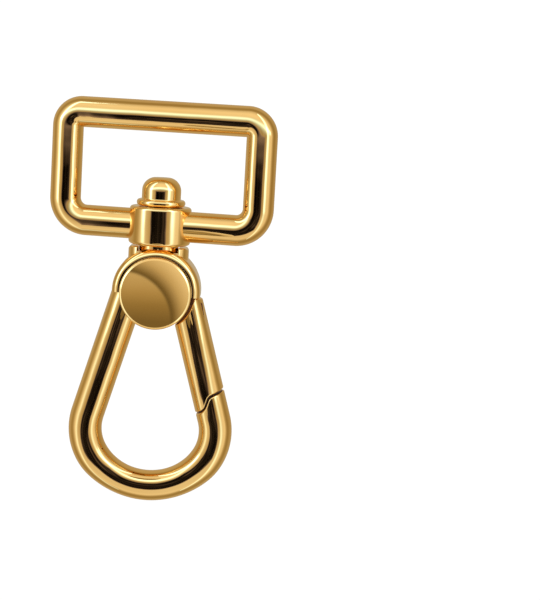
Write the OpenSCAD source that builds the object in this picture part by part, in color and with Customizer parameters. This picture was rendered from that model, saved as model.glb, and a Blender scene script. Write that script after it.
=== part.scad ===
// Swivel snap hook for a flat strap, lying on its back.
// A cast strap ring turns on a headed stud in the neck of the hook,
// and a sprung gate between two round covers closes the hook's eye.
// Millimetres. X runs across the hook, Y from the bow to the strap ring,
// Z up through its thickness. The gate's pivot stands on the origin,
// and z = 0 is the outer face of the back cover.

/* [Strap ring] */
// Width of strap that the ring takes
strap_w = 25.4; // [18:0.1:40]
// Clear height inside the ring
ring_h = 11.8; // [10:0.1:20]
// Diameter of the ring's round bar
bar_d = 4.7; // [3:0.1:5.2]
// Bend radius of the two outer corners, at the middle of the bar
top_bend_r = 2.2; // [1.7:0.1:4]
// Bend radius of the two corners beside the barrel, at the middle of the bar
low_bend_r = 3.4; // [1.7:0.1:4]
// Diameter of the barrel that the stud passes through
barrel_d = 9.7; // [7:0.1:9.8]
// Length of the barrel
barrel_l = 5.8; // [5.6:0.1:8]
// Radius on the barrel's two edges
barrel_edge_r = 0.5; // [0.2:0.05:0.5]
// Angle by which the ring lies turned on its swivel
ring_turn = 9.5; // [-9:0.5:9.5]

/* [Swivel stud] */
// Diameter of the stud's shank
shank_d = 3.6; // [2.6:0.1:4.4]
// Depth to which the shank is pressed into the neck
shank_depth = 2.1; // [1:0.1:2.2]
// Diameter of the stud's brim
brim_d = 7.4; // [6.6:0.1:9]
// Thickness of the brim
brim_t = 1; // [1:0.1:1.5]
// Diameter of the domed cap above the brim
dome_d = 5.95; // [4.6:0.05:6.5]
// Height of the domed cap above the brim
dome_h = 3.35; // [2.2:0.05:4]
// Radius on the brim's two edges
brim_edge_r = 0.45; // [0.1:0.05:0.5]
// Radius on the shoulder of the dome
dome_r = 1.8; // [0.8:0.1:2]
// Diameter of the thrust washer
washer_d = 6; // [5.2:0.1:6.4]
// Thickness of the thrust washer
washer_t = 0.95; // [0.6:0.05:1.4]
// End play left to the barrel below the brim and above the washer
end_play = 0.05; // [0.03:0.01:0.15]

/* [Head and neck] */
// Thickness of the whole head over both covers
stack_t = 10; // [9.9:0.1:13]
// Distance from the gate's pivot to the axis of the bar through the barrel
pivot_to_bar = 10; // [9.8:0.1:14]
// Diameter of the round head
head_d = 13.4; // [12.8:0.1:14]
// Thickness of the head without its covers
head_t = 7; // [6:0.1:8]
// Radius on the head's edges
head_edge_r = 0.9; // [0.3:0.1:0.9]
// Width of the neck over its two ears
neck_w = 9.15; // [8.6:0.05:10]
// Thickness of the neck
neck_t = 6; // [5:0.1:7]
// Radius on the neck's long edges
neck_round_r = 2.4; // [0.5:0.1:2.4]
// Width of the slot between the ears
fork_w = 6.65; // [6.5:0.05:7.2]
// Radius on the corners of the ears
ear_r = 0.55; // [0.2:0.05:0.6]
// Gap left between the ears and the barrel
ear_gap = 0.35; // [0.2:0.05:0.8]
// Direction in which the head's wall ends, beside the gate's shoulder
wall_end_a = -5; // [-12:1:0]
// Direction in which the head's wall ends on the other side, where it drops to the spine
spine_wall_a = 182; // [170:1:200]

/* [Hook] */
// Diameter of the rod that the hook and the gate are made of
rod_d = 5.1; // [4:0.1:5.5]
// Distance of each rod's axis from the pivot
rod_offset = 4; // [3.8:0.05:4.2]
// Angle between each rod and the hook's own axis
rod_angle = 16; // [13:0.5:18]
// Depth of the bow below the pivot, to the middle of the rod
bow_depth = 30.5; // [25:0.05:37]
// Radius of the bow's two sides, to the middle of the rod
side_r = 8; // [6:0.1:9]
// Angle below level at which each side of the bow runs into its bottom
side_end_a = 47; // [30:0.5:58]
// Straight length of the nose between the gate's tongue and the bend of the bow
nose_l = 1.65; // [0.8:0.05:3]

/* [Gate] */
// Angle through which the gate opens
gate_swing = 36; // [20:1:38]
// Length of the tongue by which the gate laps the nose
lap_l = 2.2; // [1.5:0.1:2.4]
// Lean of the joint's two faces, along the rod for each millimetre across it
seam_lean = 0.3; // [0:0.05:0.5]
// Gap between the gate and the nose
nose_gap = 0.2; // [0.1:0.05:0.4]
// Radius of the gate's eye
eye_r = 3.4; // [3:0.05:3.5]
// Thickness of the gate's eye and web
web_t = 2.6; // [2.2:0.1:3.2]
// Width of the gate's web
web_w = 4.2; // [3:0.1:4.6]
// Running gap beside and round the gate's eye
eye_gap = 0.12; // [0.08:0.01:0.2]
// Gap between the head's wall and the gate's shoulder
shoulder_gap = 0.35; // [0.2:0.05:0.6]
// Depth by which the gate's shoulder reaches inside the head's round
shoulder_inset = 0.25; // [0.1:0.05:0.5]

/* [Pivot] */
// Diameter of the round covers
cover_d = 10.9; // [10:0.1:11.2]
// Radius on the outer edge of each cover
cover_edge_r = 0.45; // [0.2:0.05:0.6]
// Diameter of the pivot pin
pin_d = 2.4; // [1.8:0.1:2.6]
// Depth to which the pin enters each cover
pin_depth = 0.8; // [0.4:0.05:0.9]
// Radial running clearance on the pin and on the stud
run_gap = 0.05; // [0.02:0.01:0.09]
// Wire diameter of the gate's spring
wire_d = 0.4; // [0.3:0.05:0.5]
// Number of turns of the spring
spring_turns = 2.5; // [0.5:1:2.5]

/* [Hidden] */

$fn = 96;
gold = [0.83, 0.62, 0.25];
deep_gold = [0.72, 0.52, 0.2];
steel = [0.62, 0.63, 0.65];
eps = 0.01;

mid_z = stack_t / 2;
cover_t = (stack_t - head_t) / 2;

// Heights along the swivel's axis, counted from the axis of the bar
barrel_top = barrel_l / 2;
brim_y = barrel_top + end_play;
washer_y = -barrel_top - end_play - washer_t;
shank_y = washer_y - shank_depth;
ear_y = -barrel_top - ear_gap;

// Rod directions: the gate's is on the right, and the spine mirrors it
rod_r = rod_d / 2;
along = [sin(rod_angle), -cos(rod_angle)];
outward = [cos(rod_angle), sin(rod_angle)];

// Bow: two side arcs tangent to the rods, and one bottom arc tangent to both of them
bend_a = rod_angle + side_end_a;
bottom_r = (rod_offset - side_r * (1 - cos(bend_a)) + bow_depth * outward[1]) / (cos(bend_a) + outward[1]);
bottom_y = bottom_r - bow_depth;
side_x = (bottom_r - side_r) * cos(side_end_a);
side_y = bottom_y - (bottom_r - side_r) * sin(side_end_a);
straight_l = side_x * along[0] + side_y * along[1];

// Distance along the gate from beside the pivot to its joint with the nose
gate_l = straight_l - nose_l - lap_l;

// The side bends are a hair thinner than the stretches that they run into, and end inside them
bend_d = rod_d - 0.02;
bend_lap = 0.2;

// Steps of the joint between gate and nose, outwards from the middle of the rod
step_out_t = 0.08 * rod_r;
step_in_t = -0.36 * rod_r;
step_fall = 0.4;

// Head: its wall is cut back to below the covers where the spine runs in and where the gate's
// shoulder sweeps. The window for the gate's web ends where it stops the fully open gate
cover_lap = 0.15;
swept_r = cover_d / 2 - cover_lap;
sweep_reach = head_d / 2 + cover_lap / 3;
spine_a = -90 - rod_angle - asin((rod_offset - rod_r) / (head_d / 2));
sweep_end_a = spine_a + 2;
web_flank_a = -90 + rod_angle + asin((rod_offset - web_w / 2) / (head_d / 2));
stop_play_a = 0.5;
window_end_a = web_flank_a - gate_swing - stop_play_a;
shoulder_r = head_d / 2 - shoulder_inset;
web_lead_a = wall_end_a - 35;
cavity_r = eye_r + eye_gap;
cavity_t = web_t + 2 * eye_gap;

// Small edge radii that are alike wherever they occur
foot_r = 0.1;
washer_edge_r = 0.15;

// Spring: its turns lie in a pocket in the gate's eye. One leg lies in a slot in the eye,
// and the other stands up into a hole in the head's cheek
wire_gap = 0.06;
coil_r = pin_d / 2 + run_gap + wire_d;
coil_pitch = wire_d + wire_gap / 2;
pocket_r = coil_r + wire_d;
pocket_depth = coil_pitch * spring_turns + wire_d + 2 * wire_gap;
pocket_z = mid_z + web_t / 2 - pocket_depth;
coil_z = pocket_z + wire_gap + wire_d / 2;
leg_l = sqrt(eye_r * eye_r - coil_r * coil_r) - wire_d;
tang_r = wire_d;
tang_top = mid_z + cavity_t / 2 + 2 * wire_d;
hole_depth = 3 * wire_d;

// A disc or a barrel along Z with a radius on its outer edges
module rounded_disc(d, h, low_r, high_r) {
    rotate_extrude() {
        square([d / 2 - low_r, low_r + eps]);
        translate([0, low_r]) square([d / 2, h - low_r - high_r]);
        translate([0, h - high_r - eps]) square([d / 2 - high_r, high_r + eps]);
        intersection() {
            translate([d / 2 - low_r, low_r]) circle(r = max(low_r, eps));
            translate([0, 0]) square([d / 2, h]);
        }
        intersection() {
            translate([d / 2 - high_r, h - high_r]) circle(r = max(high_r, eps));
            translate([0, 0]) square([d / 2, h]);
        }
    }
}

// Places its children with Z along the swivel's axis and zero at the bar through the barrel
module on_swivel() {
    translate([0, pivot_to_bar, mid_z]) rotate([-90, 0, 0]) children();
}

// Round bar between two points in the plane of the hook
module rod_between(a, b, d) {
    run = b - a;
    translate([a[0], a[1], 0]) rotate([0, 90, atan2(run[1], run[0])]) cylinder(d = d, h = norm(run));
}

// Bent round bar about a centre in the plane of the hook, from one angle to another
module bend(centre, r, d, from_a, to_a) {
    translate([centre[0], centre[1], 0]) rotate([0, 0, from_a]) rotate_extrude(angle = to_a - from_a)
        intersection() {
            translate([r, 0]) circle(d = d);
            translate([0, -d]) square([r + d, 2 * d]);
        }
}

// Point on the gate's rod, s along it from beside the pivot and t outwards from its axis
function on_rod(s, t) = along * s + outward * (rod_offset + t);
function mirrored(p) = [-p[0], p[1]];

module strap_ring() {
    half_w = (strap_w + bar_d) / 2;
    top_y = ring_h + bar_d;
    color(gold) translate([0, pivot_to_bar, mid_z]) rotate([0, -ring_turn, 0]) difference() {
        union() {
            rod_between([low_bend_r - half_w, 0], [half_w - low_bend_r, 0], bar_d);
            rod_between([top_bend_r - half_w, top_y], [half_w - top_bend_r, top_y], bar_d);
            for (side = [-1, 1]) {
                rod_between([side * half_w, low_bend_r], [side * half_w, top_y - top_bend_r], bar_d);
            }
            bend([half_w - top_bend_r, top_y - top_bend_r], top_bend_r, bar_d, 0, 90);
            bend([top_bend_r - half_w, top_y - top_bend_r], top_bend_r, bar_d, 90, 180);
            bend([low_bend_r - half_w, low_bend_r], low_bend_r, bar_d, 180, 270);
            bend([half_w - low_bend_r, low_bend_r], low_bend_r, bar_d, 270, 360);
            rotate([-90, 0, 0]) translate([0, 0, -barrel_top])
                rounded_disc(barrel_d, barrel_l, barrel_edge_r, barrel_edge_r);
        }
        rotate([-90, 0, 0]) cylinder(d = shank_d + 2 * run_gap, h = 2 * barrel_l, center = true);
    }
}

module swivel_stud() {
    color(gold) on_swivel() {
        translate([0, 0, shank_y]) cylinder(d = shank_d, h = brim_y - shank_y + eps);
        translate([0, 0, brim_y]) rounded_disc(brim_d, brim_t, brim_edge_r, brim_edge_r);
        translate([0, 0, brim_y + brim_t / 2]) rounded_disc(dome_d, dome_h + brim_t / 2, foot_r, dome_r);
    }
}

module thrust_washer() {
    color(deep_gold) on_swivel() translate([0, 0, washer_y]) difference() {
        rounded_disc(washer_d, washer_t, washer_edge_r, washer_edge_r);
        translate([0, 0, -washer_t]) cylinder(d = shank_d + 2 * run_gap, h = 3 * washer_t);
    }
}

// Outline of the neck, whose ears stand beside the thrust washer
module neck_outline() {
    top = pivot_to_bar + ear_y;
    translate([-neck_w / 2, 0]) square([neck_w, top - ear_r]);
    translate([ear_r - neck_w / 2, 0]) square([neck_w - 2 * ear_r, top]);
    for (side = [-1, 1]) {
        translate([side * (neck_w / 2 - ear_r), top - ear_r]) circle(r = ear_r);
    }
}

// Section of the neck across the swivel's axis
module neck_section() {
    square([neck_w, neck_t - 2 * neck_round_r], center = true);
    square([neck_w - 2 * neck_round_r, neck_t], center = true);
    for (x = [-1, 1], y = [-1, 1]) {
        translate([x * (neck_w / 2 - neck_round_r), y * (neck_t / 2 - neck_round_r)]) circle(r = neck_round_r);
    }
}

// The nose and the gate meet along this stepped line, taken from the outer side to the inner side
module nose_side(gap) {
    reach = 2 * rod_r;
    inner_s = gate_l + lap_l + gap;
    polygon([
        on_rod(gate_l + gap - seam_lean * (reach - step_out_t), reach),
        on_rod(gate_l + gap, step_out_t + gap / 2),
        on_rod(gate_l + gap / 2 + lap_l - step_fall, step_in_t + gap / 2),
        on_rod(inner_s + seam_lean * (step_in_t + rod_r), -rod_r),
        on_rod(inner_s + seam_lean * (step_in_t + reach), -reach),
        on_rod(straight_l + side_r, -reach),
        on_rod(straight_l + side_r, reach)
    ]);
}

// Spine, bow and nose: one rod, bent round the hook's eye
module bent_rod() {
    lap_a = bend_lap / side_r * 180 / PI;
    rod_between(mirrored(on_rod(0, 0)), mirrored(on_rod(straight_l, 0)), rod_d);
    bend([-side_x, side_y], side_r, bend_d, 180 - rod_angle - lap_a, 180 + side_end_a + lap_a);
    bend([0, bottom_y], bottom_r, rod_d, 180 + side_end_a, 360 - side_end_a);
    bend([side_x, side_y], side_r, bend_d, -side_end_a - lap_a, rod_angle + lap_a);
    intersection() {
        rod_between(on_rod(gate_l / 2, 0), on_rod(straight_l, 0), rod_d);
        translate([0, 0, -rod_d]) linear_extrude(2 * rod_d) nose_side(nose_gap / 2);
    }
}

// Round head, with its wall cut back from the spine round to the gate's shoulder
module head() {
    difference() {
        translate([0, 0, mid_z - head_t / 2]) rounded_disc(head_d, head_t, head_edge_r, head_edge_r);
        rotate([0, 0, spine_wall_a]) rotate_extrude(angle = 360 + wall_end_a - spine_wall_a)
            translate([swept_r, 0]) square([sweep_reach - swept_r, stack_t]);
    }
}

module hook_body() {
    color(gold) difference() {
        union() {
            head();
            intersection() {
                linear_extrude(stack_t) neck_outline();
                translate([0, 0, mid_z]) rotate([-90, 0, 0]) linear_extrude(pivot_to_bar) neck_section();
            }
            translate([0, 0, mid_z]) bent_rod();
        }
        translate([0, 0, -eps]) cylinder(d = pin_d, h = stack_t + 2 * eps);
        translate([0, 0, mid_z - cavity_t / 2]) cylinder(r = cavity_r, h = cavity_t);
        translate([0, 0, mid_z - cavity_t / 2]) rotate([0, 0, window_end_a])
            rotate_extrude(angle = wall_end_a - window_end_a)
                translate([cavity_r / 2, 0]) square([sweep_reach - cavity_r / 2, cavity_t]);
        translate([0, 0, -eps]) rotate([0, 0, sweep_end_a]) rotate_extrude(angle = wall_end_a - sweep_end_a)
            translate([swept_r, 0]) square([sweep_reach - swept_r, stack_t + 2 * eps]);
        translate([-coil_r, -tang_r, mid_z]) cylinder(d = wire_d + 2 * wire_gap, h = cavity_t / 2 + hole_depth);
        on_swivel() translate([0, 0, shank_y]) cylinder(d = shank_d, h = barrel_l);
        translate([-fork_w / 2, pivot_to_bar + washer_y, -eps]) cube([fork_w, barrel_l, stack_t + 2 * eps]);
    }
}

// Flat eye and web of the gate, seen from above
module gate_web() {
    circle(r = eye_r);
    polygon([
        [eye_r * cos(web_lead_a), eye_r * sin(web_lead_a)],
        on_rod(eye_r, web_w / 2),
        on_rod(2 * eye_r, web_w / 2),
        on_rod(2 * eye_r, -web_w / 2),
        on_rod(eye_r, -web_w / 2),
        [0, -eye_r],
        [0, 0]
    ]);
}

module gate() {
    shoulder_a = wall_end_a - shoulder_gap / shoulder_r * 180 / PI;
    color(gold) difference() {
        union() {
            difference() {
                translate([0, 0, mid_z]) rod_between(on_rod(0, 0), on_rod(straight_l, 0), rod_d);
                translate([0, 0, -eps]) cylinder(r = shoulder_r, h = stack_t + 2 * eps);
                translate([0, 0, -eps]) rotate([0, 0, shoulder_a])
                    cube([2 * head_d, head_d, stack_t + 2 * eps]);
            }
            translate([0, 0, mid_z - web_t / 2]) linear_extrude(web_t) gate_web();
        }
        linear_extrude(stack_t) nose_side(-nose_gap / 2);
        translate([0, 0, -eps]) cylinder(d = pin_d + 2 * run_gap, h = stack_t + 2 * eps);
        translate([0, 0, pocket_z]) cylinder(r = pocket_r, h = pocket_depth + eps);
        translate([coil_r - wire_d / 2 - wire_gap, -leg_l - wire_gap, pocket_z])
            cube([wire_d + 2 * wire_gap, leg_l, pocket_depth + eps]);
    }
}

module pivot_pin() {
    color(steel) translate([0, 0, cover_t - pin_depth]) cylinder(d = pin_d, h = head_t + 2 * pin_depth);
}

// One station of the spring's wire: its centre, and the two directions that span its section
function leg_end() = [[coil_r, -leg_l, coil_z], [1, 0, 0], [0, 0, 1]];
function on_coil(a) = [
    [coil_r * cos(a), coil_r * sin(a), coil_z + coil_pitch * a / 360],
    [cos(a), sin(a), 0], [0, 0, 1]];
function on_tang(b, rise) = [
    [-coil_r, -tang_r * sin(b), coil_z + coil_pitch * spring_turns + tang_r * (1 - cos(b)) + rise],
    [-1, 0, 0], [0, sin(b), cos(b)]];

// Torsion spring: a leg, closely wound turns round the pin, and a tang bent up at the end
module gate_spring() {
    sides = 8;
    coil_end = 360 * spring_turns;
    tang_rise = tang_top - coil_z - coil_pitch * spring_turns - tang_r;
    stations = concat([leg_end()], [for (a = [0 : 15 : coil_end]) on_coil(a)],
                      [for (b = [30 : 30 : 90]) on_tang(b, 0)], [on_tang(90, tang_rise)]);
    last = len(stations) - 1;
    points = [for (st = stations, k = [0 : sides - 1]) let(a = 360 * k / sides)
        st[0] + wire_d / 2 * (cos(a) * st[1] + sin(a) * st[2])];
    walls = [for (i = [0 : last - 1], k = [0 : sides - 1]) let(n = (k + 1) % sides)
        [i * sides + k, i * sides + n, (i + 1) * sides + n, (i + 1) * sides + k]];
    ends = [[for (k = [sides - 1 : -1 : 0]) k], [for (k = [0 : sides - 1]) last * sides + k]];
    color(steel) polyhedron(points, concat(walls, ends), convexity = 6);
}

// Round cover that hides the head's cavity and holds the end of the pin
module cover() {
    difference() {
        rounded_disc(cover_d, cover_t, eps, cover_edge_r);
        translate([0, 0, -eps]) cylinder(d = pin_d, h = pin_depth + eps);
    }
}

module front_cover() {
    color(gold) translate([0, 0, stack_t - cover_t]) cover();
}

module back_cover() {
    color(gold) translate([0, 0, cover_t]) mirror([0, 0, 1]) cover();
}

strap_ring();
swivel_stud();
thrust_washer();
hook_body();
gate();
pivot_pin();
gate_spring();
front_cover();
back_cover();
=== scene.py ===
from math import asin, cos, degrees, pi, radians, sin, sqrt, tan

import bmesh
import bpy
from mathutils import Matrix, Vector


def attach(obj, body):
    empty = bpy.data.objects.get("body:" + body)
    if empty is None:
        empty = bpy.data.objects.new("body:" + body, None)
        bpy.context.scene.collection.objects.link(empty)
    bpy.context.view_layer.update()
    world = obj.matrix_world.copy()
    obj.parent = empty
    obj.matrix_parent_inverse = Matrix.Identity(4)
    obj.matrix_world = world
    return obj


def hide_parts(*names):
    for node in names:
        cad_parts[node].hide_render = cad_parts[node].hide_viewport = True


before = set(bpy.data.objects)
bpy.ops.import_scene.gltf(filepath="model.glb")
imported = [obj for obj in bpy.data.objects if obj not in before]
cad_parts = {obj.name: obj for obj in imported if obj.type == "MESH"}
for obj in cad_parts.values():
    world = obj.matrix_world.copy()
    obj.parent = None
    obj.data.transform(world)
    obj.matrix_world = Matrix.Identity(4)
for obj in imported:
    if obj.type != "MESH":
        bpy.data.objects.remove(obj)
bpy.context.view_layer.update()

# Strap ring
# One casting: a round bar bent into a rectangle for the strap, with a barrel in
# its inner bar that turns on the stud. Polished and gold plated.

MM = 0.001
MID_Z = 5.0
PIVOT_TO_BAR = 10.0


def bare_metal(name):
    """A metal without colour or gloss yet: the material, its nodes, links and shader, and the place."""
    mat = bpy.data.materials.new(name)
    mat.use_nodes = True
    nodes = mat.node_tree.nodes
    shader = nodes["Principled BSDF"]
    shader.inputs["Metallic"].default_value = 1.0
    return mat, nodes, mat.node_tree.links, shader, nodes.new("ShaderNodeTexCoord").outputs["Object"]


def plated_gold(name, roughness, scuff_scale, scuff_depth, wave_depth):
    """Thin gold plate over a polished casting: the colour drifts, hairlines and slow waves bend the light."""
    mat, nodes, links, shader, place = bare_metal(name)

    drift = nodes.new("ShaderNodeTexNoise")
    drift.inputs["Scale"].default_value = 90.0
    drift.inputs["Detail"].default_value = 2.0
    plate = nodes.new("ShaderNodeValToRGB")
    plate.color_ramp.elements[0].position = 0.3
    plate.color_ramp.elements[0].color = (0.93, 0.575, 0.19, 1)
    plate.color_ramp.elements[1].position = 0.7
    plate.color_ramp.elements[1].color = (0.97, 0.625, 0.22, 1)
    links.new(place, drift.inputs["Vector"])
    links.new(drift.outputs["Fac"], plate.inputs["Fac"])
    links.new(plate.outputs["Color"], shader.inputs["Base Color"])

    haze = nodes.new("ShaderNodeTexNoise")
    haze.inputs["Scale"].default_value = 260.0
    haze.inputs["Detail"].default_value = 4.0
    gloss = nodes.new("ShaderNodeMapRange")
    gloss.inputs["To Min"].default_value = roughness * 0.7
    gloss.inputs["To Max"].default_value = roughness * 1.3
    links.new(place, haze.inputs["Vector"])
    links.new(haze.outputs["Fac"], gloss.inputs["Value"])
    links.new(gloss.outputs["Result"], shader.inputs["Roughness"])

    hairline = nodes.new("ShaderNodeTexNoise")
    hairline.inputs["Scale"].default_value = scuff_scale
    hairline.inputs["Detail"].default_value = 3.0
    relief = nodes.new("ShaderNodeBump")
    relief.inputs["Strength"].default_value = scuff_depth
    relief.inputs["Distance"].default_value = 0.00001
    links.new(place, hairline.inputs["Vector"])
    links.new(hairline.outputs["Fac"], relief.inputs["Height"])

    wave = nodes.new("ShaderNodeTexNoise")
    wave.inputs["Scale"].default_value = 240.0
    wave.inputs["Detail"].default_value = 1.0
    swell = nodes.new("ShaderNodeBump")
    swell.inputs["Strength"].default_value = 1.0
    swell.inputs["Distance"].default_value = wave_depth
    links.new(place, wave.inputs["Vector"])
    links.new(wave.outputs["Fac"], swell.inputs["Height"])
    links.new(relief.outputs["Normal"], swell.inputs["Normal"])
    links.new(swell.outputs["Normal"], shader.inputs["Normal"])
    return mat


mirror_gold = plated_gold("mirror_gold", 0.05, 420.0, 0.03, 0.00006)


def as_object(name, points, faces, material):
    """A piece from points in millimetres and faces."""
    mesh = bpy.data.meshes.new(name)
    mesh.from_pydata([Vector(p) * MM for p in points], [], faces)
    mesh.materials.append(material)
    piece = bpy.data.objects.new(name, mesh)
    bpy.context.scene.collection.objects.link(piece)
    return piece


def turned(name, profile, material, steps=128, to_place=Matrix()):
    """A turned piece: the profile's (radius, height) pairs about Z, closed at poles or back on itself."""
    points, faces, rings = [], [], []
    for r, h in profile:
        if r < 1e-6:
            rings.append([len(points)] * steps)
            points.append((0, 0, h))
        else:
            rings.append(list(range(len(points), len(points) + steps)))
            points += [(r * cos(2 * pi * k / steps), r * sin(2 * pi * k / steps), h) for k in range(steps)]
    pairs = list(zip(rings, rings[1:]))
    if profile[0][0] > 1e-6:
        pairs.append((rings[-1], rings[0]))
    for low, high in pairs:
        for k in range(steps):
            n = (k + 1) % steps
            corners = [low[k], low[n], high[n], high[k]]
            corners = [c for i, c in enumerate(corners) if c != corners[i - 1]]
            if len(corners) > 2:
                faces.append(corners)
    points = [to_place @ Vector(p) for p in points]
    return as_object(name, points, faces, material)


def braced(profile, brace=0.04):
    """The profile with a point close to each end of its long runs, so that smoothing leaves them flat."""
    out = [profile[0]]
    for (r0, h0), (r1, h1) in zip(profile, profile[1:]):
        run = sqrt((r1 - r0) ** 2 + (h1 - h0) ** 2)
        if run > 10 * brace:
            k = brace / run
            out += [(r0 + (r1 - r0) * k, h0 + (h1 - h0) * k), (r1 - (r1 - r0) * k, h1 - (h1 - h0) * k)]
        out.append((r1, h1))
    return out


def quarter(centre_r, centre_h, r, from_a, to_a, steps=8):
    """Points of a rounded edge in a turned profile."""
    arc = [radians(from_a + (to_a - from_a) * i / steps) for i in range(steps + 1)]
    return [(centre_r + r * cos(a), centre_h + r * sin(a)) for a in arc]


def rod_maker():
    """Node tree that turns a line of points with a "rod_r" attribute into a round, closed rod."""
    tree = bpy.data.node_groups.new("round_rod", "GeometryNodeTree")
    face = tree.interface
    face.new_socket("Geometry", in_out="INPUT", socket_type="NodeSocketGeometry")
    sides_in = face.new_socket("Sides", in_out="INPUT", socket_type="NodeSocketInt")
    finish_in = face.new_socket("Finish", in_out="INPUT", socket_type="NodeSocketMaterial")
    face.new_socket("Geometry", in_out="OUTPUT", socket_type="NodeSocketGeometry")
    add = tree.nodes.new
    source, sink = add("NodeGroupInput"), add("NodeGroupOutput")
    line, section = add("GeometryNodeMeshToCurve"), add("GeometryNodeCurvePrimitiveCircle")
    size, sweep = add("GeometryNodeInputNamedAttribute"), add("GeometryNodeCurveToMesh")
    plain, coat = add("GeometryNodeRealizeInstances"), add("GeometryNodeSetMaterial")
    size.data_type = "FLOAT"
    size.inputs["Name"].default_value = "rod_r"
    section.inputs["Radius"].default_value = 1.0
    sweep.inputs["Fill Caps"].default_value = True
    link = tree.links.new
    link(source.outputs["Geometry"], line.inputs["Mesh"])
    link(line.outputs["Curve"], sweep.inputs["Curve"])
    link(source.outputs["Sides"], section.inputs["Resolution"])
    link(section.outputs["Curve"], sweep.inputs["Profile Curve"])
    link(size.outputs["Attribute"], sweep.inputs["Scale"])
    link(sweep.outputs["Mesh"], plain.inputs["Geometry"])
    link(plain.outputs["Geometry"], coat.inputs["Geometry"])
    link(source.outputs["Finish"], coat.inputs["Material"])
    link(coat.outputs["Geometry"], sink.inputs["Geometry"])
    return tree, sides_in.identifier, finish_in.identifier


round_rod, sides_id, finish_id = rod_maker()


def bent_rod(name, path, radii, material, closed=False, sides=96):
    """A round rod along a path in millimetres, as a plain mesh."""
    mesh = bpy.data.meshes.new(name)
    count = len(path)
    edges = [(i, i + 1) for i in range(count - 1)] + ([(count - 1, 0)] if closed else [])
    mesh.from_pydata([Vector(p) * MM for p in path], edges, [])
    rod_r = mesh.attributes.new("rod_r", "FLOAT", "POINT")
    for i, r in enumerate(radii):
        rod_r.data[i].value = r * MM
    draft = bpy.data.objects.new(name + "_line", mesh)
    bpy.context.scene.collection.objects.link(draft)
    maker = draft.modifiers.new("rod", "NODES")
    maker.node_group = round_rod
    maker[sides_id] = sides
    maker[finish_id] = material
    made = bpy.data.meshes.new_from_object(draft.evaluated_get(bpy.context.evaluated_depsgraph_get()))
    bpy.data.objects.remove(draft)
    made.name = name
    piece = bpy.data.objects.new(name, made)
    bpy.context.scene.collection.objects.link(piece)
    return piece


def tidy(piece):
    """Merged doubles, outward faces."""
    shape = bmesh.new()
    shape.from_mesh(piece.data)
    bmesh.ops.remove_doubles(shape, verts=shape.verts, dist=1e-7)
    bmesh.ops.recalc_face_normals(shape, faces=shape.faces)
    shape.to_mesh(piece.data)
    shape.free()
    return piece


def combine(base, others, operation):
    """Joins the others to the base, or cuts them out of it, and clears them away."""
    for other in others:
        tidy(other)
        step = base.modifiers.new("step", "BOOLEAN")
        step.operation, step.solver, step.object = operation, "EXACT", other
        made = bpy.data.meshes.new_from_object(base.evaluated_get(bpy.context.evaluated_depsgraph_get()))
        base.modifiers.clear()
        base.data = made
        bpy.data.objects.remove(other)
    return tidy(base)


def polished(piece, sharp_a=32):
    """Smooth shading that stops at real edges."""
    piece.data.shade_smooth()
    piece.data.set_sharp_from_angle(angle=radians(sharp_a))
    return piece


strap_w, ring_h, bar_d = 25.4, 11.8, 4.7
top_bend_r, low_bend_r = 2.2, 3.4
ring_turn = 9.5
barrel_d, barrel_l, barrel_edge_r, shank_d, run_gap = 9.4, 5.8, 0.5, 3.6, 0.05
half_w, ring_top = (strap_w + bar_d) / 2, ring_h + bar_d


def arc_points(x, y, r, from_a, to_a, steps):
    """Points of an arc that lies flat."""
    turn = [radians(from_a + (to_a - from_a) * i / steps) for i in range(steps + 1)]
    return [Vector((x + r * cos(a), y + r * sin(a), 0)) for a in turn]


def corner(x, y, r, from_a, steps=20, lead=0.15):
    """Quarter turn of the ring's path, with a short straight lead in and out."""
    turn = arc_points(x, y, r, from_a, from_a + 90, steps)
    going = Vector((-sin(radians(from_a)), cos(radians(from_a)), 0))
    return [turn[0] - going * lead] + turn + [turn[-1] + Vector((-going.y, going.x, 0)) * lead]


ring_path = corner(half_w - top_bend_r, ring_top - top_bend_r, top_bend_r, 0) \
    + corner(top_bend_r - half_w, ring_top - top_bend_r, top_bend_r, 90) \
    + corner(low_bend_r - half_w, low_bend_r, low_bend_r, 180) \
    + corner(half_w - low_bend_r, low_bend_r, low_bend_r, 270)
strap_ring = bent_rod("strap_ring_bars", ring_path, [bar_d / 2] * len(ring_path), mirror_gold, closed=True)
across = Matrix.Rotation(radians(-90), 4, "X")
barrel = turned("barrel", braced(
    [(0, -barrel_l / 2)]
    + quarter(barrel_d / 2 - barrel_edge_r, barrel_edge_r - barrel_l / 2, barrel_edge_r, -90, 0)
    + quarter(barrel_d / 2 - barrel_edge_r, barrel_l / 2 - barrel_edge_r, barrel_edge_r, 0, 90)
    + [(0, barrel_l / 2)]), mirror_gold, 160, across)
bore_r = shank_d / 2 + run_gap
bore = turned("bore", [(0, -barrel_l), (bore_r, -barrel_l), (bore_r, barrel_l), (0, barrel_l)],
              mirror_gold, 64, across)
combine(strap_ring, [barrel], "UNION")
combine(strap_ring, [bore], "DIFFERENCE")
strap_ring.data.transform(Matrix.Translation(Vector((0, PIVOT_TO_BAR, MID_Z)) * MM)
                          @ Matrix.Rotation(radians(-ring_turn), 4, "Y"))
polished(strap_ring)
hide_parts("strap_ring")
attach(strap_ring, "ring")

# Swivel stud
# A turned stud pressed into the neck: shank through the barrel, brim that
# carries the ring, and a domed cap. Polished and plated with the rest.

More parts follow.
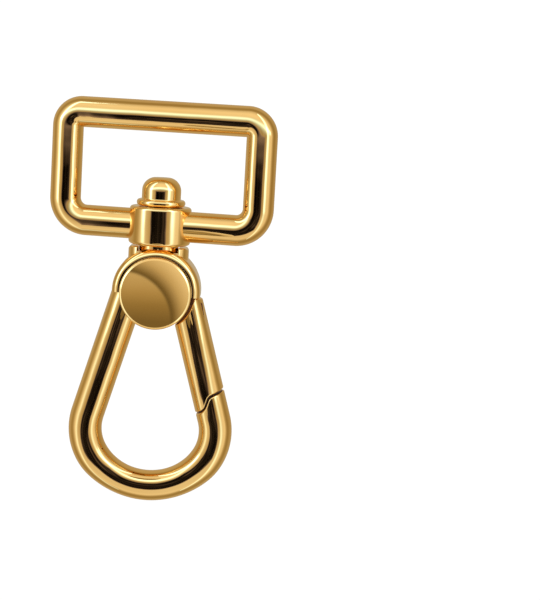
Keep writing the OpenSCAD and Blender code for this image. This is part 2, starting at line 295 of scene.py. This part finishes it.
end_play, washer_t, washer_d, shank_depth = 0.05, 0.95, 6.0, 2.1
brim_d, brim_t, brim_edge_r, dome_d, dome_h, dome_r = 7.4, 1.0, 0.45, 5.95, 3.35, 2.05
fillet_r, dome_turn_a, tip_r, tip_fall = 0.12, 78, 0.6, 0.005
on_swivel = Matrix.Translation((0, PIVOT_TO_BAR, MID_Z)) @ across
brim_y = barrel_l / 2 + end_play
washer_y = -barrel_l / 2 - end_play - washer_t
dome_foot, dome_top = brim_y + brim_t, brim_y + brim_t + dome_h
swivel_stud = turned("swivel_stud_turned", braced(
    [(0, washer_y - shank_depth), (shank_d / 2, washer_y - shank_depth), (shank_d / 2, brim_y)]
    + quarter(brim_d / 2 - brim_edge_r, brim_y + brim_edge_r, brim_edge_r, -90, 0)
    + quarter(brim_d / 2 - brim_edge_r, dome_foot - brim_edge_r, brim_edge_r, 0, 90)
    + [(dome_d / 2 + fillet_r, dome_foot)]
    + quarter(dome_d / 2 + fillet_r, dome_foot + fillet_r, fillet_r, -90, -180, 4)
    + quarter(dome_d / 2 - dome_r, dome_top - dome_r, dome_r, 0, dome_turn_a, 20)
    + [(tip_r, dome_top - tip_fall), (0, dome_top)]), mirror_gold, 160, on_swivel)
polished(tidy(swivel_stud))
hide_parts("swivel_stud")
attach(swivel_stud, "hook")

# Thrust washer
# A turned and plated collar, threaded on the stud's shank and seated between
# the ears. The barrel bears on it.

washer_edge_r = 0.15
washer = turned("thrust_washer_turned", braced(
    [(bore_r, washer_y)]
    + quarter(washer_d / 2 - washer_edge_r, washer_y + washer_edge_r, washer_edge_r, -90, 0, 5)
    + quarter(washer_d / 2 - washer_edge_r, washer_y + washer_t - washer_edge_r, washer_edge_r, 0, 90, 5)
    + [(bore_r, washer_y + washer_t)]), mirror_gold, 128, on_swivel)
polished(tidy(washer))
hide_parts("thrust_washer")
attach(washer, "hook")

# Hook body
# One plated casting: round head, neck with two ears, spine, bow and nose. The
# bow thins a little towards its bottom. The edges of the nose are eased.

stack_t, head_d, head_t = 10.0, 13.4, 7.0
neck_w, neck_t, fork_w, ear_r, ear_gap = 9.15, 6.0, 6.15, 0.55, 0.35
rod_d, rod_offset, rod_angle = 5.1, 4.0, 16.0
bow_depth, side_r, side_end_a, nose_l = 30.5, 8.0, 47.0, 1.65
lap_l, seam_lean, nose_gap = 2.2, 0.15, 0.32
eye_r, web_t, web_w, eye_gap, wall_end_a, spine_wall_a, gate_swing = 3.4, 2.6, 4.2, 0.12, -5.0, 182.0, 36.0
cover_d, pin_d, pin_depth = 10.9, 2.4, 0.8
shoulder_gap, shoulder_inset, cover_lap = 0.18, 0.8, 0.15
bow_thinning, thin_from_y = 0.2, -26.0
seam_edge_r, seam_draft_a, seam_bend_l = 0.22, 8.0, 0.6
head_round_r, neck_round_r, edge_r = 1.2, 2.4, 0.1
spine_root_l, bend_lead = 1.0, 0.4
sweep_short_a, spine_clear_a, stop_play_a = 1.0, 2.0, 0.5

rod_r = rod_d / 2
along = Vector((sin(radians(rod_angle)), -cos(radians(rod_angle)), 0))
outward = Vector((cos(radians(rod_angle)), sin(radians(rod_angle)), 0))
bend_a = radians(rod_angle + side_end_a)
bottom_r = (rod_offset - side_r * (1 - cos(bend_a)) + bow_depth * outward.y) / (cos(bend_a) + outward.y)
bottom_y = bottom_r - bow_depth
side_x = (bottom_r - side_r) * cos(radians(side_end_a))
side_y = bottom_y - (bottom_r - side_r) * sin(radians(side_end_a))
straight_l = side_x * along.x + side_y * along.y
gate_l = straight_l - nose_l - lap_l


def on_rod(s, t=0.0):
    """Point on the gate's rod, s along it from beside the pivot and t outwards from its axis."""
    return along * s + outward * (rod_offset + t)


def prism(name, outline, low, high, drift=Vector((0, 0, 0))):
    """Upright cutter or plate over an outline, given anticlockwise; its foot may be set off by a drift."""
    n = len(outline)
    points = [(p[0] + drift[0], p[1] + drift[1], low) for p in outline]
    points += [(p[0], p[1], high) for p in outline]
    faces = [list(range(n - 1, -1, -1)), list(range(n, 2 * n))]
    faces += [[i, (i + 1) % n, n + (i + 1) % n, n + i] for i in range(n)]
    return as_object(name, points, faces, mirror_gold)


def seam_line(gap, bend_steps=6):
    """The stepped line on which gate and nose meet, from the outer side to the inner side."""
    reach, out_t, in_t, fall = 2 * rod_r, 0.08 * rod_r, -0.36 * rod_r, 0.4
    inner_s = gate_l + lap_l + gap
    bends = [on_rod(gate_l + gap - seam_lean * (reach - out_t), reach),
             on_rod(gate_l + gap, out_t + gap / 2),
             on_rod(gate_l + gap / 2 + lap_l - fall, in_t + gap / 2),
             on_rod(inner_s + seam_lean * (in_t + rod_r), -rod_r),
             on_rod(inner_s + seam_lean * (in_t + reach), -reach)]
    line = [bends[0]]
    for before, bend, after in zip(bends, bends[1:], bends[2:-1]):
        start = bend + (before - bend).normalized() * seam_bend_l
        end = bend + (after - bend).normalized() * seam_bend_l
        shares = [k / bend_steps for k in range(bend_steps + 1)]
        line += [start.lerp(bend, share).lerp(bend.lerp(end, share), share) for share in shares]
    return line + bends[-2:]


def ease_edges(piece, radius, wanted, segments=4, sharp_a=28):
    """Rounds the sharp edges whose middle, in millimetres, is wanted."""
    shape = bmesh.new()
    shape.from_mesh(piece.data)
    edges = [e for e in shape.edges if len(e.link_faces) == 2 and e.calc_face_angle() > radians(sharp_a)
             and wanted((e.verts[0].co + e.verts[1].co) / 2 / MM)]
    bmesh.ops.bevel(shape, geom=edges, offset=radius * MM, segments=segments, profile=0.5,
                    affect="EDGES", clamp_overlap=False)
    shape.to_mesh(piece.data)
    shape.free()
    return piece


bend_start = on_rod(straight_l - bend_lead)
bow_path = [on_rod(gate_l / 2), bend_start]
bow_path += arc_points(side_x, side_y, side_r, rod_angle, -side_end_a, 40)
bow_path += arc_points(0, bottom_y, bottom_r, -side_end_a, -180 + side_end_a, 120)[1:]
bow_path += arc_points(-side_x, side_y, side_r, 180 + side_end_a, 180 - rod_angle, 40)[1:]
bow_path += [Vector((-p.x, p.y, 0)) for p in (bend_start, on_rod(-spine_root_l))]


def rod_radius(p):
    """Half the bow's thickness at a point of its path: it thins towards the bottom."""
    fall = min(max((thin_from_y - p.y) / (thin_from_y + bow_depth), 0), 1)
    return rod_r - bow_thinning * (3 * fall * fall - 2 * fall ** 3)


bow = bent_rod("hook_body_cast", [Vector((p.x, p.y, MID_Z)) for p in bow_path],
               [rod_radius(p) for p in bow_path], mirror_gold, sides=128)
gate_side = seam_line(nose_gap / 2)
behind = [on_rod(gate_l / 2 - 1, -2 * rod_r), on_rod(gate_l / 2 - 1, 2 * rod_r)]
seam_low, seam_high = MID_Z - 1.1 * rod_r, MID_Z + 1.01 * rod_r
seam_drift = outward * -tan(radians(seam_draft_a)) * (seam_high - seam_low)
combine(bow, [prism("gate_room", (gate_side + behind)[::-1], seam_low, seam_high, seam_drift)], "DIFFERENCE")
nose_root_y = on_rod(straight_l + 0.5).y - 1
ease_edges(bow, seam_edge_r, lambda p: p.x > 0 and p.y > nose_root_y)


def dull_gold_painted_shade(name, colour, roughness):
    """Dull, brownish gold with random stains; its dark colour is painted shade for faces in recesses."""
    mat, nodes, links, shader, place = bare_metal(name)
    shader.inputs["Roughness"].default_value = roughness
    stain = nodes.new("ShaderNodeTexNoise")
    stain.inputs["Scale"].default_value = 700.0
    tone = nodes.new("ShaderNodeValToRGB")
    tone.color_ramp.elements[0].color = (*[c * 0.4 for c in colour], 1)
    tone.color_ramp.elements[1].color = (*colour, 1)
    links.new(place, stain.inputs["Vector"])
    links.new(stain.outputs["Fac"], tone.inputs["Fac"])
    links.new(tone.outputs["Color"], shader.inputs["Base Color"])
    return mat


# The dull, dark brown gold below is painted shade for the seam's inner faces and the gate's web and eye.
recess_painted_shade = dull_gold_painted_shade("recess_painted_shade", (0.42, 0.18, 0.08), 0.35)


def paint_seam_shade(piece):
    """Gives the faces inside the seam the dull gold whose dark colour is painted shade, up to their eased
    edges.
    """
    for face in piece.data.polygons:
        p = face.center / MM
        s, t = p.xy.dot(along.xy), p.xy.dot(outward.xy) - rod_offset
        from_axis = sqrt(t * t + (p.z - MID_Z) ** 2)
        if gate_l - 1.5 < s < straight_l + 0.5 and from_axis < rod_r - 1.2 * seam_edge_r:
            face.material_index = 1


# The bow's faces inside the seam take the dull gold with painted shade.
bow.data.materials.append(recess_painted_shade)
paint_seam_shade(bow)


def sector(name, r, from_a, to_a, low, high, inner_r=0.0, steps=48):
    """Upright cutter over a sector of a ring."""
    angles = [radians(from_a + (to_a - from_a) * i / steps) for i in range(steps + 1)]
    outer = [(r * cos(a), r * sin(a)) for a in angles]
    inner = [(inner_r * cos(a), inner_r * sin(a)) for a in reversed(angles)] if inner_r else [(0, 0)]
    return prism(name, outer + inner, low, high)


swept_r, sweep_reach = cover_d / 2 - cover_lap, head_d / 2 + cover_lap / 3
head = turned(
    "head",
    [(0, MID_Z - head_t / 2)]
    + quarter(head_d / 2 - head_round_r, MID_Z - head_t / 2 + head_round_r, head_round_r, -90, 0, 16)
    + quarter(head_d / 2 - head_round_r, MID_Z + head_t / 2 - head_round_r, head_round_r, 0, 90, 16)
    + [(0, MID_Z + head_t / 2)], mirror_gold, 192)
cut_back = sector("cut_back", sweep_reach, spine_wall_a - 360, wall_end_a, 0, stack_t, swept_r, 96)
combine(head, [cut_back], "DIFFERENCE")

neck_top = PIVOT_TO_BAR - barrel_l / 2 - ear_gap
neck_side = [(neck_w / 2 - ear_r + ear_r * sin(radians(a)), neck_top - ear_r + ear_r * cos(radians(a)))
             for a in range(0, 91, 10)]
neck_foot = 0.1 * head_d
neck_outline = [(neck_w / 2, neck_foot)] + neck_side[::-1] \
    + [(-x, y) for x, y in neck_side] + [(-neck_w / 2, neck_foot)]
neck = prism("neck", neck_outline, MID_Z - neck_t / 2, MID_Z + neck_t / 2)
over_r = 1.002 * neck_round_r
section = [(sx * (neck_w / 2 - neck_round_r) + over_r * cos(radians(a)),
            sy * (neck_t / 2 - neck_round_r) + over_r * sin(radians(a)))
           for sx, sy, a0 in ((1, 1, 0), (-1, 1, 90), (-1, -1, 180), (1, -1, 270))
           for a in range(a0, a0 + 91, 9)]
rounding = prism("rounding", section, -1, neck_top + 1)
rounding.data.transform(Matrix.Translation((0, 0, MID_Z * MM)) @ across)
fork = [(-fork_w / 2, PIVOT_TO_BAR + washer_y), (fork_w / 2, PIVOT_TO_BAR + washer_y),
        (fork_w / 2, 2 * PIVOT_TO_BAR), (-fork_w / 2, 2 * PIVOT_TO_BAR)]
combine(neck, [rounding], "INTERSECT")
combine(neck, [prism("fork", fork, 0, stack_t)], "DIFFERENCE")
ease_edges(neck, edge_r, lambda p: p.y > neck_foot + 0.1)

cavity_t = web_t + 2 * eye_gap
shoulder_r = head_d / 2 - shoulder_inset
spine_side_a = -90 - rod_angle - degrees(asin((rod_offset - rod_r) / (head_d / 2)))
web_side_a = -90 + rod_angle + degrees(asin((rod_offset - web_w / 2) / (head_d / 2)))
sweep_end_a, window_end_a = spine_side_a + spine_clear_a, web_side_a - gate_swing - stop_play_a
combine(bow, [neck, head], "UNION")
combine(bow, [
    turned("pin_bore", [(0, 0), (pin_d / 2, 0), (pin_d / 2, stack_t), (0, stack_t)], mirror_gold, 64),
    turned("cavity", [(0, MID_Z - cavity_t / 2), (eye_r + eye_gap, MID_Z - cavity_t / 2),
                      (eye_r + eye_gap, MID_Z + cavity_t / 2), (0, MID_Z + cavity_t / 2)], mirror_gold, 128),
    sector("window", sweep_reach, window_end_a, wall_end_a, MID_Z - cavity_t / 2, MID_Z + cavity_t / 2),
    sector("sweep", sweep_reach, sweep_end_a, wall_end_a - sweep_short_a, 0, stack_t, swept_r),
    turned("shank_bore", [(0, washer_y - shank_depth), (shank_d / 2, washer_y - shank_depth),
                          (shank_d / 2, 0), (0, 0)], mirror_gold, 64, on_swivel)], "DIFFERENCE")
polished(bow)
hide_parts("hook_body")
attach(bow, "hook")

# Gate
# A plated casting that goes on with the bow's rod: a hollow shoulder clears the
# head, a flat web and eye turn inside it, and a stepped tip laps the nose.

gate = bent_rod("gate_cast", [Vector((p.x, p.y, MID_Z)) for p in (on_rod(0), on_rod(straight_l))],
                [rod_r, rod_r], mirror_gold, sides=128)
shoulder_a = wall_end_a - degrees(shoulder_gap / shoulder_r)
wall_dir = Vector((cos(radians(shoulder_a)), sin(radians(shoulder_a)), 0))
wall_up = Vector((-wall_dir.y, wall_dir.x, 0))
cut_reach = 2 * head_d
wall_cut = [wall_dir * 0, wall_dir * cut_reach, (wall_dir + wall_up) * cut_reach, wall_up * cut_reach]
nose_room = seam_line(-nose_gap / 2)
nose_room += [on_rod(straight_l + side_r, -2 * rod_r), on_rod(straight_l + side_r, 2 * rod_r)]
combine(gate, [
    turned("shoulder_room", [(0, -1), (shoulder_r, -1), (shoulder_r, stack_t + 1), (0, stack_t + 1)],
           mirror_gold, 256),
    prism("wall_room", wall_cut, -1, stack_t + 1),
    prism("nose_room", nose_room, seam_low, seam_high, seam_drift)], "DIFFERENCE")
ease_edges(gate, seam_edge_r, lambda p: True)
# The gate's faces inside the seam take the dull gold with painted shade.
gate.data.materials.append(recess_painted_shade)
paint_seam_shade(gate)
web_lead_a, web_r, web_flare = radians(wall_end_a - 2), 5.9, 0.3
web_outline = [Vector((web_r * cos(web_lead_a), web_r * sin(web_lead_a), 0)),
               on_rod(eye_r, web_w / 2 + web_flare), on_rod(2 * eye_r, web_w / 2),
               on_rod(2 * eye_r, -web_w / 2), on_rod(eye_r, -web_w / 2),
               Vector((0, -eye_r, 0)), Vector((0, 0, 0))]
web = prism("web", web_outline[::-1], MID_Z - web_t / 2, MID_Z + web_t / 2)
eye = turned("eye", [(0, MID_Z - web_t / 2), (eye_r, MID_Z - web_t / 2), (eye_r, MID_Z + web_t / 2),
                     (0, MID_Z + web_t / 2)], mirror_gold, 128)
# The web and eye are coloured with the dull gold's painted shade.
for part in (web, eye):
    part.data.materials[0] = recess_painted_shade
combine(gate, [web, eye], "UNION")
wire_d, wire_gap, spring_turns = 0.4, 0.06, 2.5
coil_r = pin_d / 2 + run_gap + wire_d
coil_pitch = wire_d + wire_gap / 2
pocket_depth = coil_pitch * spring_turns + wire_d + 2 * wire_gap
pocket_z = MID_Z + web_t / 2 - pocket_depth
leg_l = sqrt(eye_r ** 2 - coil_r ** 2) - wire_d
combine(gate, [
    turned("pivot_room", [(0, 0), (pin_d / 2 + run_gap, 0), (pin_d / 2 + run_gap, stack_t), (0, stack_t)],
           mirror_gold, 64),
    turned("spring_room", [(0, pocket_z), (coil_r + wire_d, pocket_z), (coil_r + wire_d, stack_t),
                           (0, stack_t)], mirror_gold, 64),
    prism("leg_room", [(coil_r - wire_d / 2 - wire_gap, -leg_l - wire_gap),
                       (coil_r + wire_d / 2 + wire_gap, -leg_l - wire_gap),
                       (coil_r + wire_d / 2 + wire_gap, 0), (coil_r - wire_d / 2 - wire_gap, 0)],
          pocket_z, stack_t)], "DIFFERENCE")
polished(gate)
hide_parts("gate")
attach(gate, "gate")

# Covers
# Two round plated covers, spun on their faces to a satin sheen, with a bright
# rounded rim. They hide the head's cavity and hold the ends of the pin.

satin_gold = plated_gold("satin_gold", 0.06, 900.0, 0.02, 0.000004)
cover_t = (stack_t - head_t) / 2
crown, rim_r, bevel_w, bevel_a, foot_ease = 0.06, 0.3, 0.2, 62, 0.02
crown_steps = 24


def cover(name, mirrored):
    """A cover with its outer face up at the top of the stack, or turned over on the underside."""
    inner = stack_t - cover_t
    bevel_fall = bevel_w * tan(radians(90 - bevel_a))
    rim_h = stack_t - crown - bevel_fall - rim_r * sin(radians(bevel_a))
    rim = quarter(cover_d / 2 - rim_r, rim_h, rim_r, 0, bevel_a, 12)
    rim.append((rim[-1][0] - bevel_w, rim[-1][1] + bevel_fall))
    profile = [(0, inner + pin_depth), (pin_d / 2, inner + pin_depth), (pin_d / 2, inner),
               (cover_d / 2 - foot_ease, inner), (cover_d / 2, inner + foot_ease)] + rim
    face_r, face_h = rim[-1]
    shares = [0.995] + [1 - i / crown_steps for i in range(1, crown_steps + 1)]
    profile += [(face_r * share, face_h + (stack_t - face_h) * (1 - share * share)) for share in shares]
    flip = Matrix()
    if mirrored:
        flip = Matrix.Translation((0, 0, stack_t)) @ Matrix.Rotation(pi, 4, "X")
    disc = tidy(turned(name, braced(profile), mirror_gold, 192, flip))
    disc.data.materials.append(satin_gold)
    spun_from = stack_t / 2 - 2 * crown
    for face in disc.data.polygons:
        p = face.center / MM
        if p.xy.length < face_r and abs(p.z - stack_t / 2) > spun_from:
            face.material_index = 1
    return polished(disc, 20)


for cover_name, node, turned_over in (("front_cover_spun", "front_cover", False),
                                      ("back_cover_spun", "back_cover", True)):
    piece = cover(cover_name, turned_over)
    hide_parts(node)
    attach(piece, "hook")

# Pin and spring
# A turned steel pin through the head and the gate's eye, and a torsion spring
# of drawn wire round it. Both are closed in, and seen only through the window.


def bare_steel(name, colour, roughness):
    """Unplated steel with fine turning marks."""
    mat, nodes, links, shader, place = bare_metal(name)
    stretch = nodes.new("ShaderNodeMapping")
    stretch.inputs["Scale"].default_value = (300, 300, 6000)
    grain = nodes.new("ShaderNodeTexNoise")
    grain.inputs["Scale"].default_value = 1.0
    tone = nodes.new("ShaderNodeValToRGB")
    tone.color_ramp.elements[0].color = (*[c * 0.85 for c in colour], 1)
    tone.color_ramp.elements[1].color = (*colour, 1)
    gloss = nodes.new("ShaderNodeMapRange")
    gloss.inputs["To Min"].default_value = roughness * 0.8
    gloss.inputs["To Max"].default_value = roughness * 1.3
    links.new(place, stretch.inputs["Vector"])
    links.new(stretch.outputs["Vector"], grain.inputs["Vector"])
    links.new(grain.outputs["Fac"], tone.inputs["Fac"])
    links.new(tone.outputs["Color"], shader.inputs["Base Color"])
    links.new(grain.outputs["Fac"], gloss.inputs["Value"])
    links.new(gloss.outputs["Result"], shader.inputs["Roughness"])
    return mat


for node, finish in (("pivot_pin", bare_steel("turned_steel", (0.62, 0.63, 0.65), 0.28)),
                     ("gate_spring", bare_steel("drawn_wire", (0.55, 0.56, 0.58), 0.35))):
    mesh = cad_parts[node].data
    mesh.materials.clear()
    mesh.materials.append(finish)

# Table and studio
# The hook lies on a backlit white table, between a soft box behind it and one on
# each side. A dark hood hangs over it, and a small shaded card over its head.


def glowing(name, strength):
    """A material that only gives light; returns it with its emission node."""
    mat = bpy.data.materials.new(name)
    mat.use_nodes = True
    nodes = mat.node_tree.nodes
    nodes.remove(nodes["Principled BSDF"])
    glow = nodes.new("ShaderNodeEmission")
    glow.inputs["Strength"].default_value = strength
    mat.node_tree.links.new(glow.outputs["Emission"], nodes["Material Output"].inputs["Surface"])
    return mat, glow


def screen(name, corners, material):
    """A flat, four-cornered piece of the studio."""
    return as_object(name, corners, [[0, 1, 2, 3]], material)


table_half_w, table_z = 900, -0.02
table = screen("light_table", [(i * table_half_w, j * table_half_w, table_z)
                               for i, j in ((-1, -1), (1, -1), (1, 1), (-1, 1))],
               glowing("lit_acrylic", 1.05)[0])


def graph(tree):
    """Shorthand for arithmetic in a node tree: takes an operation and its numbers or sockets."""
    def step(operation, *values):
        node = tree.nodes.new("ShaderNodeMath")
        node.operation = operation
        for socket, value in zip(node.inputs, values):
            if isinstance(value, (int, float)):
                socket.default_value = value
            else:
                tree.links.new(value, socket)
        return node.outputs[0]
    return step


def place_in(tree, step):
    """The shaded point: its coordinates, and its X, Y and Z in millimetres."""
    place, axes = tree.nodes.new("ShaderNodeTexCoord"), tree.nodes.new("ShaderNodeSeparateXYZ")
    tree.links.new(place.outputs["Object"], axes.inputs["Vector"])
    return place.outputs["Object"], [step("DIVIDE", axes.outputs[axis], MM) for axis in "XYZ"]


def ramp(tree, fac, stops):
    """Colour ramp through (place, level) stops. Dim light is warmer and bright light whiter."""
    node = tree.nodes.new("ShaderNodeValToRGB")
    elements = node.color_ramp.elements
    while len(elements) < len(stops):
        elements.new(1.0)
    for element, (place, level) in zip(elements, stops):
        element.position = place
        dim = min(max((0.75 - level) / 0.4, 0), 1)
        element.color = (level * (1 + 0.06 * dim), level * (1 - 0.12 * dim), level * (1 - 0.5 * dim), 1)
    tree.links.new(fac, node.inputs["Fac"])
    return node.outputs["Color"]


def blend(tree, a, b, fac):
    """Mixes two colours, from the first at 0 to the second at 1."""
    node = tree.nodes.new("ShaderNodeMix")
    node.data_type = "RGBA"
    for name, socket in (("Factor", fac), ("A", a), ("B", b)):
        tree.links.new(socket, node.inputs[name])
    return node.outputs["Result"]


# Dark hood: streaky cloth, a little lighter towards its hems
hood_x, hood_y, hood_z, hood_half_w, hood_half_d = -8.0, -27.5, 120.0, 66.0, 52.5
hem_w, hem_level, weave_level = 16.0, 0.34, 0.4
black_cloth, hood_glow = glowing("black_cloth", 1.0)
hood = screen("dark_hood", [(hood_x + i * hood_half_w, hood_y + j * hood_half_d, hood_z)
                            for i, j in ((-1, -1), (1, -1), (1, 1), (-1, 1))], black_cloth)
cloth = black_cloth.node_tree
step = graph(cloth)
cloth_place, (x, y, _) = place_in(cloth, step)
from_hem = step("MINIMUM", step("SUBTRACT", hood_half_w, step("ABSOLUTE", step("SUBTRACT", x, hood_x))),
                step("SUBTRACT", hood_half_d, step("ABSOLUTE", step("SUBTRACT", y, hood_y))))
hem = step("SUBTRACT", 1.0, step("DIVIDE", from_hem, hem_w))
hem.node.use_clamp = True
streaks = cloth.nodes.new("ShaderNodeTexNoise")
streaks.inputs["Scale"].default_value = 45.0
streaks.inputs["Detail"].default_value = 1.0
cloth.links.new(cloth_place, streaks.inputs["Vector"])
weave = step("MULTIPLY", step("POWER", streaks.outputs["Fac"], 5.0), weave_level)
hem_light = step("MULTIPLY", step("POWER", hem, 2.0), hem_level)
cloth.links.new(step("ADD", weave, hem_light), hood_glow.inputs["Strength"])
hood_glow.inputs["Color"].default_value = (1.0, 0.86, 1.1, 1)

# Shaded card: its lower left is cut round, and the paper behind brightens away from the cut
card_x, card_y, card_z, card_r = -0.8, -1.75, 24.0, 6.7
cut_x, cut_y, cut_r, fade_w = -5.7, -5.0, 8.7, 8.0
shaded_paper, card_glow = glowing("shaded_paper", 1.0)
card = turned("shaded_card", [(0, card_z), (card_r, card_z)], shaded_paper, 64,
              Matrix.Translation((card_x, card_y, 0)))
paper = shaded_paper.node_tree
step = graph(paper)
x, y, _ = place_in(paper, step)[1]
from_middle = step("SUBTRACT", y, card_y)
off_cut = [step("POWER", step("SUBTRACT", x, card_x + cut_x), 2.0),
           step("POWER", step("SUBTRACT", y, card_y + cut_y), 2.0)]
from_cut = step("SUBTRACT", step("SQRT", step("ADD", *off_cut)), cut_r)
near = ramp(paper, step("MULTIPLY_ADD", from_middle, 0.1, 0.5),
            [(0.0, 0.19), (0.3, 0.3), (0.5, 0.42), (0.64, 0.5), (0.9, 0.6)])
far = ramp(paper, step("DIVIDE", from_cut, fade_w),
           [(0.0, 0.11), (0.08, 0.2), (0.3, 0.56), (0.6, 0.88), (1.0, 0.95)])
over = step("MULTIPLY_ADD", from_cut, 2.0, 0.5)
over.node.use_clamp = True
paper.links.new(blend(paper, near, far, over), card_glow.inputs["Color"])


def soft_box(name, corners, line, spread, strength, dim_share, fades_at):
    """Diffuser that adds a soft strip of cool light round a line, given by its axis and place.

    Below fades_at in Y it only gives its dim_share.
    """
    mat, glow = glowing(name + "_cloth", 1.0)
    tree = mat.node_tree
    step = graph(tree)
    x, y, z = place_in(tree, step)[1]
    off = step("DIVIDE", step("SUBTRACT", y if line[0] == "Y" else z, line[1]), spread)
    strip = step("EXPONENT", step("MULTIPLY", step("MULTIPLY", off, off), -1.0))
    full = step("MULTIPLY_ADD", step("SUBTRACT", y, fades_at), 0.1, 0.5)
    full.node.use_clamp = True
    strip = step("MULTIPLY", strip, step("MULTIPLY_ADD", full, 1 - dim_share, dim_share))
    tree.links.new(step("MULTIPLY", strip, strength), glow.inputs["Strength"])
    glow.inputs["Color"].default_value = (0.28, 0.56, 1.0, 1)
    clear, both = tree.nodes.new("ShaderNodeBsdfTransparent"), tree.nodes.new("ShaderNodeAddShader")
    tree.links.new(clear.outputs["BSDF"], both.inputs[0])
    tree.links.new(glow.outputs["Emission"], both.inputs[1])
    tree.links.new(both.outputs["Shader"], tree.nodes["Material Output"].inputs["Surface"])
    return screen(name, corners, mat)


left_x, right_x, back_z, foot_z, reach = -83, 68, 105, 6, 260
boxes = [soft_box("left_soft_box", [(left_x, -reach, foot_z), (left_x, reach, foot_z),
                                    (left_x, reach, 110), (left_x, -reach, 110)],
                  ("Z", 52), spread=13, strength=3.7, dim_share=0.28, fades_at=0),
         soft_box("right_soft_box", [(right_x, -reach, foot_z), (right_x, reach, foot_z),
                                     (right_x, reach, 118), (right_x, -reach, 118)],
                  ("Z", 66), spread=15, strength=3.2, dim_share=0.45, fades_at=1),
         soft_box("back_soft_box", [(-reach, 15, back_z), (reach, 15, back_z),
                                    (reach, 125, back_z), (-reach, 125, back_z)],
                  ("Y", 68), spread=22, strength=2.5, dim_share=1.0, fades_at=0)]

table.visible_glossy = table.visible_diffuse = False
for piece in (hood, card, *boxes):
    piece.visible_camera = piece.visible_shadow = piece.visible_diffuse = False

# The studio's walls: levels of light at angles in degrees from straight up, on each side
walls = {
    "behind": [(0, 0.3), (24, 0.35), (31, 0.5), (37, 0.8), (44, 1.0), (60, 1.0), (68, 0.9), (80, 0.7),
               (90, 0.38), (104, 0.32), (118, 0.5)],
    "front": [(50, 0.8), (65, 0.88), (72, 0.7), (80, 0.45), (90, 0.32), (106, 0.36), (120, 0.5)],
    "left": [(30, 0.4), (38, 0.5), (44, 0.6), (52, 0.7), (58, 0.8), (64, 0.9), (70, 0.9), (78, 0.7),
             (88, 0.45), (100, 0.35), (120, 0.48), (180, 0.5)],
    "right": [(26, 0.4), (34, 0.5), (42, 0.6), (48, 0.7), (56, 0.8), (66, 0.9), (74, 0.9), (81, 0.6),
              (90, 0.4), (100, 0.3), (120, 0.4), (180, 0.5)],
}
studio = bpy.data.worlds.new("studio")
bpy.context.scene.world = studio
studio.use_nodes = True
sky = studio.node_tree
facing = sky.nodes.new("ShaderNodeTexCoord")
split = sky.nodes.new("ShaderNodeSeparateXYZ")
sky.links.new(facing.outputs["Generated"], split.inputs["Vector"])
step = graph(sky)
tilt = step("DIVIDE", step("ARCCOSINE", split.outputs["Z"]), pi)
level_l = step("SQRT", step("MAXIMUM", step("SUBTRACT", 1.0, step("POWER", split.outputs["Z"], 2.0)), 1e-6))
side = step("DIVIDE", split.outputs["Y"], level_l)
share_behind = step("POWER", step("MAXIMUM", side, 0.0), 2.0)
share_front = step("POWER", step("MAXIMUM", step("MULTIPLY", side, -1.0), 0.0), 1.2)
across_share = step("MULTIPLY_ADD", step("DIVIDE", split.outputs["X"], level_l), 2.0, 0.5)
across_share.node.use_clamp = True
lit = {name: ramp(sky, tilt, [(angle / 180, level) for angle, level in stops])
       for name, stops in walls.items()}
total = blend(sky, lit["left"], lit["right"], across_share)
total = blend(sky, total, lit["behind"], share_behind)
total = blend(sky, total, lit["front"], share_front)
sky.links.new(total, sky.nodes["Background"].inputs["Color"])
bpy.context.scene.view_settings.view_transform = "Standard"

# Camera
# It looks down from well above the hook, leaning a little to the right and
# towards the strap ring's end.

lean_x, lean_y, roll, distance = radians(3.5), radians(7.2), radians(2.77), 276.0
photo_w, photo_h, focal_px, pivot_px = 540, 600, 1800.0, (156.9, 290.2)
sensor_w = 36.0
back = Vector((tan(lean_x), tan(lean_y), 1)).normalized()
right = Vector((0, 1, 0)).cross(back).normalized()
up = back.cross(right)
turned_right = right * cos(roll) + up * sin(roll)
turned_up = up * cos(roll) - right * sin(roll)
ray = Vector((pivot_px[0] - photo_w / 2, photo_h / 2 - pivot_px[1], -focal_px)).normalized()
aim = Vector((0, 0, -1)).rotation_difference(ray).to_matrix()
axes = aim @ Matrix((turned_right, turned_up, back))
camera_data = bpy.data.cameras.new("camera")
camera_data.sensor_width = sensor_w
camera_data.lens = sensor_w * focal_px / photo_h
camera_data.clip_start = 0.01
camera = bpy.data.objects.new("camera", camera_data)
stand = Matrix.Translation((Vector((0, 0, MID_Z)) + back * distance) * MM)
camera.matrix_world = stand @ axes.transposed().to_4x4()
bpy.context.scene.collection.objects.link(camera)
bpy.context.scene.camera = camera
